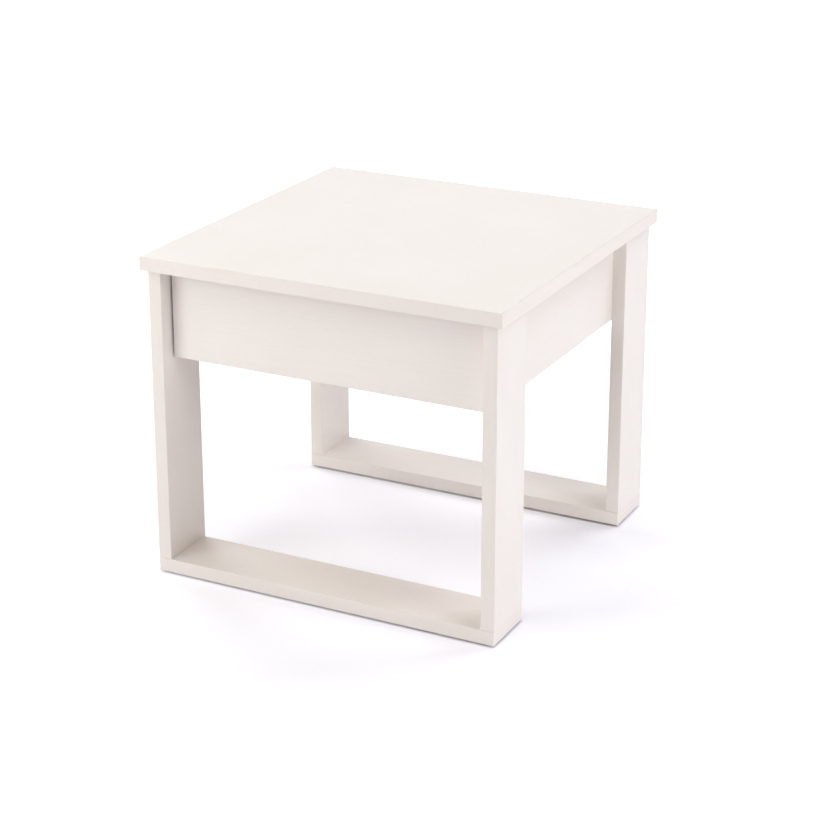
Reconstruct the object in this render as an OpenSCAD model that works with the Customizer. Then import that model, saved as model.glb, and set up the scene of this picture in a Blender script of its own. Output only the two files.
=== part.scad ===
// Square side table in white laminated board: two foot frames, a top, an apron
// and one drawer on roller runners, pulled by the lower edge of its front.
// Millimetres. X runs from left to right, the drawer opens towards -Y, Z is up.
// The origin is on the floor under the middle of the top.

/* [Table] */
// Width of the top, left to right
top_w = 600; // [500:10:800]
// Depth of the top, front to back
top_d = 600; // [500:10:800]
// Height of the table, floor to top surface
table_h = 520; // [400:5:600]
// How far the top stands out over the legs at the left and right
overhang_side = 10; // [3:1:20]
// How far the top stands out over the legs at the front and back
overhang_end = 8; // [3:1:20]

/* [Boards] */
// Thickness of the top, legs and foot rails
board_t = 22; // [19:1:28]
// Thickness of the side panels and the back panel
panel_t = 16; // [15:1:19]
// Depth of a leg and of the foot rail below it, front to back
leg_d = 100; // [85:1:130]
// Thickness of the edge banding
band_t = 1; // [0.6:0.1:2]
// Rounding of the banding's two outer edges
band_r = 0.8; // [0.3:0.1:1.5]

/* [Apron] */
// Height of the side panels and the back panel
apron_h = 140; // [120:1:170]
// How far the drawer front stands back from the legs' front edges
front_recess = 26; // [10:1:40]
// How far the back panel stands back from the legs' rear edges
back_recess = 26; // [10:1:40]

/* [Drawer] */
// Thickness of the drawer front
front_t = 16; // [15:1:19]
// Gap between each end of the drawer front and the leg
front_side_gap = 3; // [1.5:0.1:4]
// Gap between the drawer front and the top
front_top_gap = 3; // [2:0.5:5]
// How far the drawer front reaches below the side panels, as a grip
front_drop = 3; // [0:1:8]
// Space between the closed drawer front and the side panels
closing_gap = 2; // [1:0.1:3]
// Thickness of the drawer's sides and back
drawer_t = 12; // [11:0.5:15]
// Rounding of the upper edges of the drawer's sides and back
drawer_edge_r = 2.5; // [1:0.5:4]
// Height of the drawer box above the lower edge of the side panels
drawer_lift = 12; // [6:1:16]
// Air between the drawer box and the top
drawer_headroom = 28; // [6:1:40]
// Air behind the closed drawer box
drawer_rear_gap = 50; // [10:5:100]
// Thickness of the hardboard bottom
bottom_t = 3; // [2.5:0.1:4]
// Depth of the groove that holds the bottom
groove_depth = 6; // [4:0.5:7]
// Height of that groove above the lower edge of the sides
groove_up = 8; // [6:0.5:12]

/* [Runners] */
// Width of the space that a runner fills beside the drawer
runner_gap = 12.5; // [12:0.1:14]
// Thickness of the runners' rolled steel
sheet_t = 1.2; // [1:0.1:1.5]
// Radius of the roller at the front of the cabinet member
front_roller_r = 8; // [7:0.5:10]
// Radius of the roller at the rear of the drawer member
rear_roller_r = 9; // [7.5:0.1:9.4]
// Radius of the rivet that a roller turns on
axle_r = 2; // [1.5:0.1:2.5]
// Length of the drawer member that stays inside when the drawer is open
runner_hold = 120; // [80:5:180]
// Height of the stop that the rear roller meets when the drawer is open
stop_h = 3; // [2:0.5:4]

/* [Fittings] */
// Radius of a wooden dowel
dowel_r = 4; // [3:0.5:4]
// Length of a dowel in the board's end
dowel_long = 20; // [15:1:24]
// Length of a dowel in the board's face
dowel_short = 10; // [7:1:11]
// Radius of a cam lock
cam_r = 7.5; // [6:0.5:7.5]
// Depth of a cam lock in a side panel or the back panel
cam_depth = 12.5; // [11.5:0.1:13]
// Depth of a cam lock in a drawer side
drawer_cam_depth = 9.5; // [9.3:0.1:10]
// Distance from a cam lock's centre to the joint
cam_setback = 24; // [20:1:30]
// Length of a cam bolt's thread in the other board
bolt_bite = 11; // [9:0.5:12]
// Length of a foot rail screw in the leg
rail_screw_bite = 28; // [20:1:40]
// Wood left over the tip of a side panel screw in the leg
leg_screw_cover = 8; // [4:1:12]
// Distance between the two fittings at each end of a leg
leg_pitch = 60; // [40:1:70]

/* [Floor] */
// Height of a floor glide, which lifts the foot rails off the floor
glide_h = 3; // [2:0.5:6]
// Radius of a floor glide
glide_r = 10; // [8:0.5:12]
// Distance of the glides from the centre plane of the leg
glide_inset = 24; // [22:1:60]

/* [Hidden] */
$fn = 48;
FIT = 0.05;    // radial play of a fitting in its hole
CUT = 0.5;     // how far a cut starts outside the face that it opens
ROLL = 0.4;    // play of a roller above and below in its channel
LIP_GAP = 0.3; // play between the front roller and the lip that runs on it
TIP = 1;       // how much deeper than its fitting a blind hole is
BAND_ROUND = 0.9; // largest rounding of a band, as a share of its thickness

// Directions that a fitting points in, as turns of the Z axis
UP = [0, 0, 0];
DOWN = [180, 0, 0];
BACK = [-90, 0, 0];
FRONT = [90, 0, 0];
RIGHT = [0, 90, 0];
LEFT = [0, -90, 0];

// Turns of a banding strip: the side that it faces and the axis that it runs along
FRONT_ALONG_X = [90, 0, -90];
REAR_ALONG_X = [90, 0, 90];
LEFT_ALONG_Y = [90, 0, 180];
RIGHT_ALONG_Y = [90, 0, 0];
FRONT_ALONG_Z = [0, 0, -90];
REAR_ALONG_Z = [0, 0, 90];
LEFT_ALONG_Z = [0, 0, 180];
RIGHT_ALONG_Z = [0, 0, 0];
DOWN_ALONG_X = [0, 90, 0];
UP_ALONG_X = [0, -90, 0];
DOWN_ALONG_Y = [0, 90, 90];

// Frame of legs and foot rails
base_w = top_w - 2 * overhang_side;
base_d = top_d - 2 * overhang_end;
leg_z = glide_h + board_t;
top_z = table_h - board_t;
leg_x = base_w / 2 - board_t / 2;
leg_y = base_d / 2 - leg_d / 2;
leg_face_x = base_w / 2 - board_t;

// Apron
panel_x = leg_face_x - panel_t / 2;
case_x = leg_face_x - panel_t;
apron_z = top_z - apron_h;
front_y = front_recess - base_d / 2;
front_rear_y = front_y + front_t;
panel_y = front_rear_y + closing_gap;
back_y = base_d / 2 - back_recess - panel_t;
panel_len = back_y - panel_y;
panel_mid_y = panel_y + panel_len / 2;

// Drawer
front_w = 2 * (leg_face_x - front_side_gap);
front_z = apron_z - front_drop;
front_h = top_z - front_top_gap - front_z;
drawer_x = case_x - runner_gap;
drawer_z = apron_z + drawer_lift;
drawer_h = top_z - drawer_headroom - drawer_z;
drawer_end_y = back_y - drawer_rear_gap;
drawer_len = drawer_end_y - front_rear_y;
inside_w = 2 * (drawer_x - drawer_t);
groove_z = drawer_z + groove_up;
groove_gap = 0.2;
groove_h = bottom_t + groove_gap;
groove_play = 0.3;

// Runners: the cabinet member is a channel, the drawer member a Z with a lip
runner_play = 0.5;     // drawer member to each end of the drawer side
channel_lift = 2.2;    // channel above the lower edge of the drawer side
channel_side_gap = 1.6; // channel to the web of the drawer member
channel_air = 0.9;     // lip to the channel's upper flange
lip_side_gap = 1.3;    // lip to the web of the cabinet member
lip_roller_gap = 2;    // end of the lip to the rear roller
bend_r = 0.6;          // inside radius of the steel's bends
flange_w = 10;
runner_setback = 2;    // cabinet member behind the front edge of the side panel
front_roller_setback = 14;
rear_roller_setback = 12;
channel_z = drawer_z + channel_lift;
channel_w = runner_gap - sheet_t - channel_side_gap;
lip_z = channel_z + sheet_t + ROLL + 2 * front_roller_r + LIP_GAP;
channel_in = max(lip_z + channel_air - channel_z, 2 * (rear_roller_r + ROLL));
channel_h = channel_in + 2 * sheet_t;
channel_mid_z = channel_z + channel_h / 2;
lip_w = runner_gap - sheet_t - lip_side_gap;
cabinet_runner_y = panel_y + runner_setback;
runner_len = drawer_len;
drawer_runner_y = front_rear_y + runner_play;
drawer_runner_len = drawer_len - 2 * runner_play;
front_roller_y = cabinet_runner_y + front_roller_setback;
front_roller_z = channel_z + sheet_t + ROLL + front_roller_r;
rear_roller_y = drawer_runner_y + drawer_runner_len - rear_roller_setback;
drawer_travel = runner_len - runner_hold;
stop_reach = sqrt(pow(rear_roller_r, 2) - pow(rear_roller_r + ROLL - stop_h, 2));
stop_len = 4;
stop_side_gap = 1.2;   // stop to each side of the channel
stop_y = rear_roller_y - drawer_travel - stop_reach - LIP_GAP - stop_len;

// Rollers: the rivet's head, then the roller with play at both faces
rivet_head_t = 0.9;
rivet_head_wall = 1.2;
rivet_head_r = axle_r + rivet_head_wall;
rivet_rim_t = 0.3;
rivet_flat_r = 0.5;
rivet_gap = 1;
roller_play = 0.3;
roller_w = runner_gap - 2 * sheet_t - rivet_head_t - rivet_gap - 2 * roller_play;
hub_wall = 2.2;
web_sink = 0.6;
tread_wall = 1.2;
tread_bevel = 0.5;

// Cam locks and cam bolts
cam_play = 0.3;
cam_mouth_y = 2.2;     // the lock's opening starts this far before its axis
cam_cross_size = 6.4;
cam_cross_w = 1.4;
cam_cross_depth = 2;
bolt_head_r = 3;
bolt_head_t = 3;
bolt_bevel = 0.6;
bolt_neck_r = 1.9;
bolt_neck_len = 3.5;
bolt_shank_r = 2.5;
bolt_thread_r = 3;
bolt_channel_r = 3.2;

// Dowels, screws, nails and bumpers
dowel_bevel = 1;
screw_r = 2;
screw_tip_r = 0.2;
screw_head_r = 4;
screw_head_h = 2.4;
screw_cross_depth = 1.4;
rail_screw_r = 3.5;
rail_screw_head_r = 5;
rail_screw_head_h = 4;
hex_r = 2.3;
hex_depth = 3;
leg_screw_len = panel_t + board_t - leg_screw_cover;
runner_screw_head_r = 3.4;
runner_screw_head_h = 1.6;
runner_cross_depth = 1;
runner_screw_cover = 3;
cabinet_screw_len = panel_t - runner_screw_cover;
drawer_screw_len = drawer_t + sheet_t - runner_screw_cover;
drawer_screw_z = groove_z + groove_h + runner_screw_head_r + runner_play;
back_screw_bite = 22;
back_screw_len = drawer_t + back_screw_bite;
bottom_screw_bite = 14;
bottom_screw_len = bottom_t + bottom_screw_bite;
nail_r = 1;
nail_head_r = 3;
nail_head_h = 1;
nail_sink = 0.8;
nail_len = 12;
glide_bevel = 1.3;
bumper_r = 5;
bumper_bevel = 0.6;
bumper_t = closing_gap - LIP_GAP;

SIDES = [-1, 1];
leg_spots = [for (sx = SIDES, sy = SIDES) [sx * leg_x, sy * leg_y]];
cam_end_dist = 70;
dowel_end_dist = 20;
back_cam_inset = 100;  // from the side panel's inner face
back_dowel_inset = 38;
panel_cam_step = panel_len / 2 - cam_end_dist;

// Fittings spread over a board, as shares of its height or length
drawer_dowel_shares = [0.3, 0.84];
drawer_cam_share = 0.58;
leg_screw_shares = [0.39, 0.65];
cabinet_screw_shares = [0.11, 0.5, 0.93];
drawer_screw_shares = [0.12, 0.5, 0.9];
back_screw_shares = [0.4, 0.8];
bottom_screw_shares = [-1, 0, 1] / 3;
bumper_shares = [0.15, 0.85];

// Where each kind of fitting sits: a point on the joint, a direction, and for a
// cam lock the turn about that direction that opens its pocket to the right side
leg_dowels = [
    for (p = leg_spots, k = SIDES) [[p.x, p.y + k * leg_pitch / 2, top_z], UP],
    for (p = leg_spots) [[p.x, p.y, leg_z], DOWN]
];
apron_dowels = [
    for (sx = SIDES, k = SIDES) [[sx * panel_x, panel_mid_y + k * panel_cam_step / 2, top_z], UP],
    for (sx = SIDES, z = [dowel_end_dist, apron_h - dowel_end_dist]) [[sx * panel_x, back_y, apron_z + z], BACK],
    for (k = [-1, 0, 1]) [[k * (case_x - back_dowel_inset), back_y + panel_t / 2, top_z], UP]
];
drawer_dowel_spots = [
    for (sx = SIDES, u = drawer_dowel_shares)
        [[sx * (drawer_x - drawer_t / 2), front_rear_y, drawer_z + u * drawer_h], FRONT]
];
apron_cams = [
    for (sx = SIDES, k = [-1, 0, 1])
        [[sx * panel_x, panel_mid_y + k * panel_cam_step, top_z], UP, -sx * 90],
    for (sx = SIDES) [[sx * panel_x, back_y, apron_z + apron_h / 2], BACK, -sx * 90],
    for (sx = SIDES) [[sx * (case_x - back_cam_inset), back_y + panel_t / 2, top_z], UP]
];
drawer_cam_spots = [
    for (sx = SIDES)
        [[sx * (drawer_x - drawer_t / 2), front_rear_y, drawer_z + drawer_cam_share * drawer_h], FRONT, sx * 90]
];
rail_screw_spots = [
    for (p = leg_spots, k = SIDES) [[p.x, p.y + k * leg_pitch / 2, glide_h], UP]
];
leg_screw_y = [panel_y + (leg_d - base_d / 2 - panel_y) / 2, back_y - (back_y - base_d / 2 + leg_d) / 2];
leg_screw_spots = [
    for (sx = SIDES, y = leg_screw_y, u = leg_screw_shares)
        [[sx * case_x, y, apron_z + u * apron_h], sx > 0 ? RIGHT : LEFT]
];
cabinet_screw_spots = [
    for (sx = SIDES, u = cabinet_screw_shares)
        [[sx * (case_x - sheet_t), cabinet_runner_y + u * runner_len, channel_mid_z], sx > 0 ? RIGHT : LEFT]
];
drawer_screw_spots = [
    for (sx = SIDES, u = drawer_screw_shares)
        [[sx * (drawer_x + sheet_t), drawer_runner_y + u * drawer_runner_len, drawer_screw_z],
         sx > 0 ? LEFT : RIGHT]
];
back_screw_spots = [
    for (sx = SIDES, u = back_screw_shares)
        [[sx * drawer_x, drawer_end_y - drawer_t / 2, drawer_z + u * drawer_h], sx > 0 ? LEFT : RIGHT]
];
bottom_screw_spots = [
    for (u = bottom_screw_shares) [[u * inside_w, drawer_end_y - drawer_t / 2, groove_z], UP]
];
glide_spots = [
    for (sx = SIDES, sy = SIDES, k = SIDES)
        [[sx * (leg_x - glide_inset), sy * leg_y + k * leg_pitch / 2, 0], UP]
];
bumper_spots = [
    for (sx = SIDES, u = bumper_shares) [[sx * panel_x, front_rear_y, apron_z + u * apron_h], BACK]
];

LAMINATE = [0.95, 0.94, 0.93];
BANDING = [0.93, 0.9, 0.88];
FOIL = [0.93, 0.92, 0.9];
HARDBOARD = [0.9, 0.88, 0.85];
RUNNER_WHITE = [0.92, 0.92, 0.91];
NYLON = [0.85, 0.85, 0.82];
ZINC = [0.7, 0.71, 0.73];
BEECH = [0.82, 0.68, 0.5];

// A box from its lowest corner to its highest
module span(low, high) translate(low) cube(high - low);

// Extrudes a section of the X-Z plane along Y
module along_y(from, length) translate([0, from + length, 0]) rotate(FRONT) linear_extrude(length)
    children();

// Puts a copy of the child at every spot
module at_spots(spots) for (s = spots)
    translate(s[0]) rotate(s[1]) rotate([0, 0, is_undef(s[2]) ? 0 : s[2]]) children();

// Arc of a profile around a centre, from one angle to another
function arc(centre, r, from, to, steps = 6) =
    [for (i = [0:steps]) let (a = from + (to - from) * i / steps) centre + r * [cos(a), sin(a)]];

// Banding strip, its glued face on x = 0, centred along Z and across Y
module band(length, width) {
    r = min(band_r, BAND_ROUND * band_t);
    translate([0, 0, -length / 2]) linear_extrude(length) intersection() {
        translate([0, -width / 2]) square([band_t, width]);
        union() {
            translate([0, -width / 2]) square([band_t - r, width]);
            translate([0, r - width / 2]) square([band_t, width - 2 * r]);
            for (s = SIDES) translate([band_t - r, s * (width / 2 - r)]) circle(r);
        }
    }
}

// Room past the tip of a fitting, for a hole that is drawn as its fitting with play
function tip_room(play) = play > 0 ? TIP : 0;

// Dowel with chamfered ends, the long part below the joint
module dowel(play = 0) {
    r = dowel_r + play;
    low = -dowel_long - tip_room(play);
    high = dowel_short + tip_room(play);
    rotate_extrude() polygon([
        [0, low], [r - dowel_bevel, low], [r, low + dowel_bevel],
        [r, high - dowel_bevel], [r - dowel_bevel, high], [0, high]
    ]);
}

// Cam bolt: thread above the joint, shank, neck and head down to the cam
module cam_bolt() {
    low = -cam_setback - bolt_head_t / 2;
    neck = low + bolt_head_t;
    shank = neck + bolt_neck_len;
    rotate_extrude() polygon([
        [0, low], [bolt_head_r - bolt_bevel, low], [bolt_head_r, low + bolt_bevel],
        [bolt_head_r, neck - bolt_bevel], [bolt_neck_r, neck], [bolt_neck_r, shank],
        [bolt_shank_r, shank + bolt_bevel], [bolt_shank_r, -2 * bolt_bevel], [bolt_thread_r, -bolt_bevel],
        [bolt_thread_r, bolt_bite - bolt_bevel], [bolt_thread_r - bolt_bevel, bolt_bite], [0, bolt_bite]
    ]);
}

// Holes for a cam bolt: the thread's pilot hole, the channel and the lock's pocket
module cam_hole(depth, board) {
    translate([0, 0, -CUT]) cylinder(r = bolt_thread_r + FIT, h = bolt_bite + TIP + CUT);
    translate([0, 0, -cam_setback]) cylinder(r = bolt_channel_r, h = cam_setback + CUT);
    translate([0, -board / 2 - CUT, -cam_setback]) rotate(BACK)
        cylinder(r = cam_r, h = depth + CUT);
}

// Cam lock in its pocket: round body, side opening for the bolt, cross recess
module cam_lock(depth, board) {
    height = depth - cam_play;
    translate([0, depth - board / 2, -cam_setback]) rotate(FRONT) difference() {
        cylinder(r = cam_r - FIT, h = height);
        translate([0, -cam_mouth_y, depth - board / 2]) rotate(BACK)
            cylinder(r = bolt_channel_r, h = cam_r + cam_mouth_y + CUT);
        translate([0, 0, height]) cross_recess(cam_cross_size, cam_cross_w, cam_cross_depth);
    }
}

// Drive recess: two slots that cross, cut upwards from depth below the face to above it
module cross_recess(size, width, depth) {
    for (a = [45, 135]) rotate([0, 0, a]) translate([-size / 2, -width / 2, -depth])
        cube([size, width, depth + CUT]);
}

// Countersunk screw, its head flush with the face, pointing along Z
module screw(length, r = screw_r, head_r = screw_head_r, head_h = screw_head_h, play = 0) {
    tip = length + tip_room(play);
    rotate_extrude() polygon([
        [0, play > 0 ? -CUT : 0], [head_r + play, play > 0 ? -CUT : 0], [head_r + play, 0],
        [r + play, head_h], [r + play, tip - r], [screw_tip_r, tip], [0, tip]
    ]);
}

// All holes of the carcass, cut from each of its boards
module carcass_holes() {
    at_spots(leg_dowels) dowel(FIT);
    at_spots(apron_dowels) dowel(FIT);
    at_spots(apron_cams) cam_hole(cam_depth, panel_t);
    at_spots(rail_screw_spots) rail_screw(FIT);
    at_spots(leg_screw_spots) screw(leg_screw_len, play = FIT);
    at_spots(cabinet_screw_spots) cabinet_screw(FIT);
    at_spots(glide_spots) nail(FIT);
}

// All holes of the drawer, cut from each of its boards
module drawer_holes() {
    at_spots(drawer_dowel_spots) dowel(FIT);
    at_spots(drawer_cam_spots) cam_hole(drawer_cam_depth, drawer_t);
    at_spots(drawer_screw_spots) drawer_screw(FIT);
    at_spots(back_screw_spots) screw(back_screw_len, play = FIT);
    at_spots(bottom_screw_spots) screw(bottom_screw_len, play = FIT);
    span([-inside_w / 2 - groove_depth, front_rear_y - groove_depth, groove_z],
         [inside_w / 2 + groove_depth, drawer_end_y + CUT, groove_z + groove_h]);
}

// A board with banding taken off its banded edges, low and high corner of the finished board
module core(low, high, bands) {
    span(low + band_t * [bands[0], bands[2], bands[4]], high - band_t * [bands[1], bands[3], bands[5]]);
}

module table_top() {
    color(LAMINATE) difference() {
        core([-top_w / 2, -top_d / 2, top_z], [top_w / 2, top_d / 2, table_h], [1, 1, 1, 1, 0, 0]);
        carcass_holes();
    }
}

module top_edge_bands() {
    z = top_z + board_t / 2;
    color(BANDING) {
        translate([0, band_t - top_d / 2, z]) rotate(FRONT_ALONG_X) band(top_w, board_t);
        translate([0, top_d / 2 - band_t, z]) rotate(REAR_ALONG_X) band(top_w, board_t);
        translate([band_t - top_w / 2, 0, z]) rotate(LEFT_ALONG_Y) band(top_d - 2 * band_t, board_t);
        translate([top_w / 2 - band_t, 0, z]) rotate(RIGHT_ALONG_Y) band(top_d - 2 * band_t, board_t);
    }
}

// One leg: a board on end, wide faces to the left and right
module leg(spot) {
    half = [board_t / 2, leg_d / 2];
    color(LAMINATE) difference() {
        core([spot.x - half.x, spot.y - half.y, leg_z], [spot.x + half.x, spot.y + half.y, top_z],
             [0, 0, 1, 1, 0, 0]);
        carcass_holes();
    }
}

module leg_edge_bands() {
    color(BANDING) for (p = leg_spots) translate([p.x, p.y, (leg_z + top_z) / 2]) {
        translate([0, band_t - leg_d / 2, 0]) rotate(FRONT_ALONG_Z) band(top_z - leg_z, board_t);
        translate([0, leg_d / 2 - band_t, 0]) rotate(REAR_ALONG_Z) band(top_z - leg_z, board_t);
    }
}

// Foot rail: a flat board that carries two legs
module foot_rail(y) {
    color(LAMINATE) difference() {
        core([-base_w / 2, y - leg_d / 2, glide_h], [base_w / 2, y + leg_d / 2, leg_z], [1, 1, 1, 1, 0, 0]);
        carcass_holes();
    }
}

module rail_edge_bands() {
    color(BANDING) for (y = [-leg_y, leg_y]) translate([0, y, glide_h + board_t / 2]) {
        translate([0, band_t - leg_d / 2, 0]) rotate(FRONT_ALONG_X) band(base_w, board_t);
        translate([0, leg_d / 2 - band_t, 0]) rotate(REAR_ALONG_X) band(base_w, board_t);
        translate([band_t - base_w / 2, 0, 0]) rotate(LEFT_ALONG_Y) band(leg_d - 2 * band_t, board_t);
        translate([base_w / 2 - band_t, 0, 0]) rotate(RIGHT_ALONG_Y) band(leg_d - 2 * band_t, board_t);
    }
}

// Side panel: runs along the inner faces of two legs
module side_panel(sx) {
    color(LAMINATE) difference() {
        core([sx * panel_x - panel_t / 2, panel_y, apron_z],
             [sx * panel_x + panel_t / 2, back_y, top_z], [0, 0, 1, 0, 1, 0]);
        carcass_holes();
    }
}

// Back panel: closes the apron between the rear legs
module back_panel() {
    color(LAMINATE) difference() {
        core([-leg_face_x, back_y, apron_z], [leg_face_x, back_y + panel_t, top_z], [0, 0, 0, 0, 1, 0]);
        carcass_holes();
    }
}

module apron_edge_bands() {
    color(BANDING) {
        for (sx = SIDES) translate([sx * panel_x, 0, 0]) {
            translate([0, panel_mid_y + band_t / 2, apron_z + band_t]) rotate(DOWN_ALONG_Y)
                band(panel_len - band_t, panel_t);
            translate([0, panel_y + band_t, apron_z + apron_h / 2]) rotate(FRONT_ALONG_Z)
                band(apron_h, panel_t);
        }
        translate([0, back_y + panel_t / 2, apron_z + band_t]) rotate(DOWN_ALONG_X)
            band(2 * leg_face_x, panel_t);
    }
}

module drawer_front() {
    color(LAMINATE) difference() {
        core([-front_w / 2, front_y, front_z], [front_w / 2, front_rear_y, front_z + front_h],
             [1, 1, 0, 0, 1, 1]);
        drawer_holes();
    }
}

module drawer_front_edge_bands() {
    color(BANDING) translate([0, front_y + front_t / 2, front_z + front_h / 2]) {
        translate([0, 0, band_t - front_h / 2]) rotate(DOWN_ALONG_X) band(front_w - 2 * band_t, front_t);
        translate([0, 0, front_h / 2 - band_t]) rotate(UP_ALONG_X) band(front_w - 2 * band_t, front_t);
        translate([band_t - front_w / 2, 0, 0]) rotate(LEFT_ALONG_Z) band(front_h, front_t);
        translate([front_w / 2 - band_t, 0, 0]) rotate(RIGHT_ALONG_Z) band(front_h, front_t);
    }
}

// Section of a board on edge, standing on Y = 0, with its two upper edges rounded
module rounded_top(width, height, r) {
    translate([-width / 2, 0]) square([width, height - r]);
    translate([r - width / 2, 0]) square([width - 2 * r, height]);
    for (s = SIDES) translate([s * (width / 2 - r), height - r]) circle(r);
}

module drawer_side(sx) {
    color(FOIL) difference() {
        along_y(front_rear_y, drawer_len) translate([sx * (drawer_x - drawer_t / 2), drawer_z])
            rounded_top(drawer_t, drawer_h, drawer_edge_r);
        drawer_holes();
    }
}

// Drawer back: stands on the bottom, between the sides
module drawer_back() {
    low = groove_z + bottom_t;
    color(FOIL) difference() {
        translate([-inside_w / 2, drawer_end_y - drawer_t / 2, low]) rotate(REAR_ALONG_X)
            linear_extrude(inside_w) rounded_top(drawer_t, drawer_z + drawer_h - low, drawer_edge_r);
        at_spots(back_screw_spots) screw(back_screw_len, play = FIT);
        at_spots(bottom_screw_spots) screw(bottom_screw_len, play = FIT);
    }
}

module drawer_bottom() {
    reach = groove_depth - groove_play;
    color(HARDBOARD) difference() {
        span([-inside_w / 2 - reach, front_rear_y - reach, groove_z],
             [inside_w / 2 + reach, drawer_end_y, groove_z + bottom_t]);
        at_spots(bottom_screw_spots) screw(bottom_screw_len, play = FIT);
    }
}

// Section of the cabinet member: a channel, its web at x = width
function channel_section(w, h, t, r) = concat(
    [[0, 0]], arc([w - r, r], r, -90, 0), arc([w - r, h - r], r, 0, 90), [[0, h], [0, h - t]],
    arc([w - r, h - r], r - t, 90, 0), arc([w - r, r], r - t, 0, -90), [[0, t]]
);

// Section of the drawer member: flange below the drawer side, web and outward lip
function lip_section(flange, lip, h, t, r) = concat(
    [[-flange, 0], [-flange, -t]], arc([0, 0], t, -90, 0), arc([r, h - r], r - t, 180, 90),
    [[lip + t, h - t], [lip + t, h]], arc([r, h - r], r, 90, 180), [[0, 0]]
);

// Everything on the right side is drawn once and mirrored to the left
module on_side(sx) {
    if (sx > 0) children();
    else mirror([1, 0, 0]) children();
}

module cabinet_runner(sx) {
    color(RUNNER_WHITE) on_side(sx) difference() {
        union() {
            along_y(cabinet_runner_y, runner_len) translate([case_x - channel_w - sheet_t, channel_z])
                polygon(channel_section(channel_w + sheet_t, channel_h, sheet_t, sheet_t + bend_r));
            translate([case_x - sheet_t - channel_w + stop_side_gap, stop_y, channel_z + sheet_t / 2])
                cube([channel_w - 2 * stop_side_gap, stop_len, stop_h + sheet_t / 2]);
        }
        at_spots(cabinet_screw_spots) cabinet_screw(FIT);
        translate([case_x, front_roller_y, front_roller_z]) rotate(LEFT) translate([0, 0, -CUT])
            cylinder(r = axle_r + FIT / 2, h = sheet_t + 2 * CUT);
    }
}

module drawer_runner(sx) {
    lip_end = rear_roller_y - rear_roller_r - lip_roller_gap;
    color(RUNNER_WHITE) on_side(sx) difference() {
        along_y(drawer_runner_y, drawer_runner_len) translate([drawer_x, drawer_z])
            polygon(lip_section(flange_w, lip_w, lip_z + sheet_t - drawer_z, sheet_t, sheet_t + bend_r));
        span([drawer_x + sheet_t, lip_end, lip_z - bend_r - CUT],
             [case_x, drawer_end_y, lip_z + sheet_t + CUT]);
        at_spots(drawer_screw_spots) drawer_screw(FIT);
        translate([drawer_x, rear_roller_y, channel_mid_z]) rotate(RIGHT) translate([0, 0, -CUT])
            cylinder(r = axle_r + FIT / 2, h = sheet_t + 2 * CUT);
    }
}

// Roller on its rivet: tread with bevelled rims and a hub, and a thinner web between them
module roller(r) {
    bore = axle_r + FIT;
    hub = axle_r + hub_wall;
    rim = r - tread_wall;
    rotate_extrude() polygon([
        [bore, 0], [hub, 0], [hub + web_sink, web_sink], [rim - web_sink, web_sink], [rim, 0],
        [r - tread_bevel, 0], [r, tread_bevel], [r, roller_w - tread_bevel], [r - tread_bevel, roller_w],
        [rim, roller_w], [rim - web_sink, roller_w - web_sink], [hub + web_sink, roller_w - web_sink],
        [hub, roller_w], [bore, roller_w]
    ]);
}

// Rivet with a domed head, its shaft from the web to the head
module rivet() {
    length = sheet_t + roller_w + 2 * roller_play;
    dome_w = rivet_head_r - rivet_flat_r;
    dome_h = rivet_head_t - rivet_rim_t;
    rotate_extrude() polygon(concat(
        [[0, 0], [axle_r, 0], [axle_r, length], [rivet_head_r, length]],
        [for (a = [0:15:90]) [rivet_flat_r + dome_w * cos(a), length + rivet_rim_t + dome_h * sin(a)]],
        [[0, length + rivet_head_t]]
    ));
}

// Place of the cabinet member's roller and of the drawer member's roller
module at_cabinet_axle(sx, out = 0) on_side(sx)
    translate([case_x - out, front_roller_y, front_roller_z]) rotate(LEFT) children();
module at_drawer_axle(sx, out = 0) on_side(sx)
    translate([drawer_x + out, rear_roller_y, channel_mid_z]) rotate(RIGHT) children();

module cabinet_roller(sx) color(NYLON) at_cabinet_axle(sx, sheet_t + roller_play) roller(front_roller_r);
module drawer_roller(sx) color(NYLON) at_drawer_axle(sx, sheet_t + roller_play) roller(rear_roller_r);
module cabinet_roller_rivets() color(ZINC) for (sx = SIDES) at_cabinet_axle(sx) rivet();
module drawer_roller_rivets() color(ZINC) for (sx = SIDES) at_drawer_axle(sx) rivet();

// Screws of each kind
module rail_screw(play = 0) {
    screw(board_t + rail_screw_bite, rail_screw_r, rail_screw_head_r, rail_screw_head_h, play);
}
module cabinet_screw(play = 0) {
    screw(cabinet_screw_len, screw_r, runner_screw_head_r, runner_screw_head_h, play);
}
module drawer_screw(play = 0) {
    screw(drawer_screw_len, screw_r, runner_screw_head_r, runner_screw_head_h, play);
}

// Cross in a screw's head, as wide as the head's radius
module screw_cross(size, depth) rotate(DOWN) cross_recess(size, size / 4, depth);

module rail_screws() color(ZINC) at_spots(rail_screw_spots) difference() {
    rail_screw();
    translate([0, 0, -CUT]) cylinder(r = hex_r, h = hex_depth + CUT, $fn = 6);
}
module leg_screws() color(ZINC) at_spots(leg_screw_spots) difference() {
    screw(leg_screw_len);
    screw_cross(screw_head_r, screw_cross_depth);
}
module cabinet_runner_screws() color(ZINC) at_spots(cabinet_screw_spots) difference() {
    cabinet_screw();
    screw_cross(runner_screw_head_r, runner_cross_depth);
}
module drawer_runner_screws() color(ZINC) at_spots(drawer_screw_spots) difference() {
    drawer_screw();
    screw_cross(runner_screw_head_r, runner_cross_depth);
}
module drawer_back_screws() color(ZINC) at_spots(back_screw_spots) difference() {
    screw(back_screw_len);
    screw_cross(screw_head_r, screw_cross_depth);
}
module drawer_bottom_screws() color(ZINC) at_spots(bottom_screw_spots) difference() {
    screw(bottom_screw_len);
    screw_cross(screw_head_r, screw_cross_depth);
}

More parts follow.
